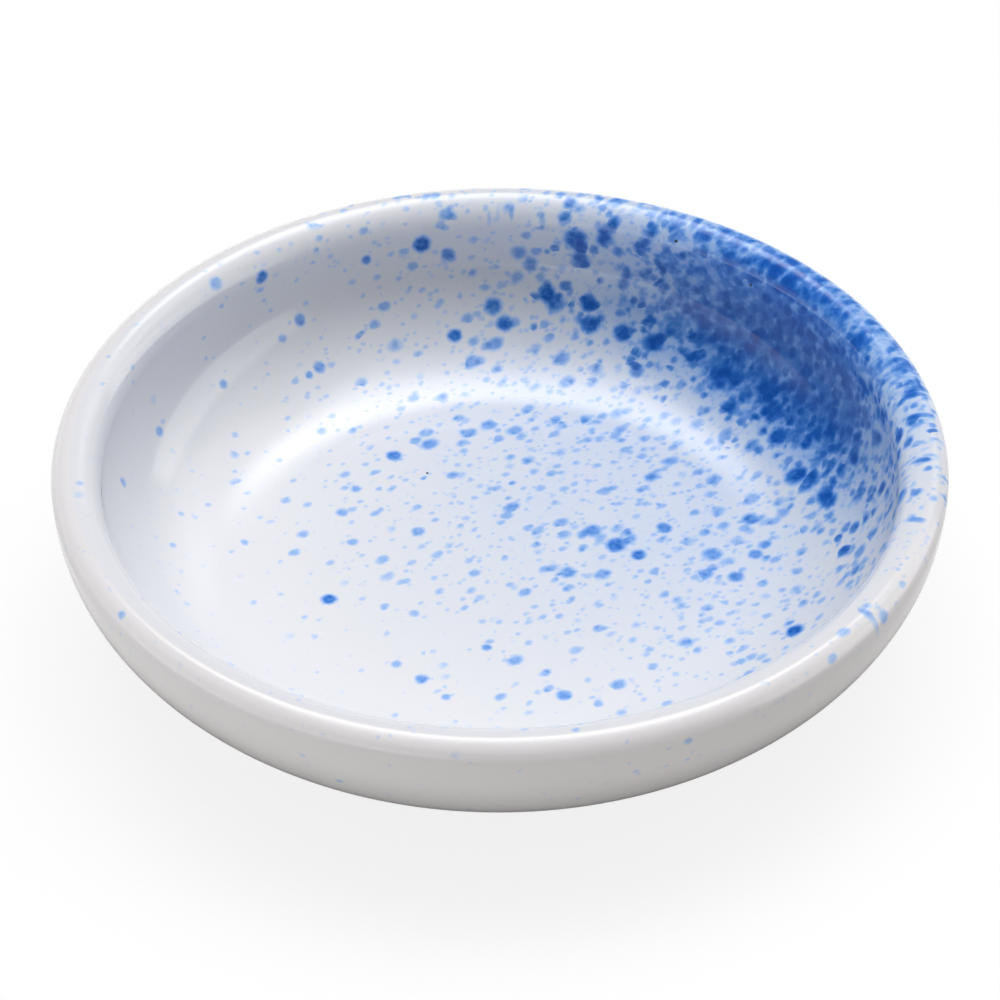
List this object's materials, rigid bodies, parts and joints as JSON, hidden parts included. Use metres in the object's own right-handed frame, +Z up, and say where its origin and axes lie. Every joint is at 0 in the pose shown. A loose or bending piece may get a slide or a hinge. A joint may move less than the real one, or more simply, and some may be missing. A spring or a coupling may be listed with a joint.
{
  "type": "round plate",
  "caption": "Shallow round ceramic dish with a thick rolled lip, a curved wall, a flat well and a bare foot ring, glazed white with blue spatter.",
  "frame": {"origin": "centre of the circle that the foot ring stands on, at table level", "axes": "+Z up along the dish's axis of revolution; -Y faces the viewer of the picture"},
  "size_m": [0.13, 0.13, 0.03],
  "materials": {
    "fired_clay": "bare, fine and matt",
    "spatter_glaze": "gloss, with blue spatter",
    "white_glaze": "gloss"
  },
  "bodies": {
    "root": {"clay_body": "fired_clay", "well_glaze": "spatter_glaze", "wall_glaze": "white_glaze", "foot_glaze": "white_glaze"}
  },
  "joints": []
}
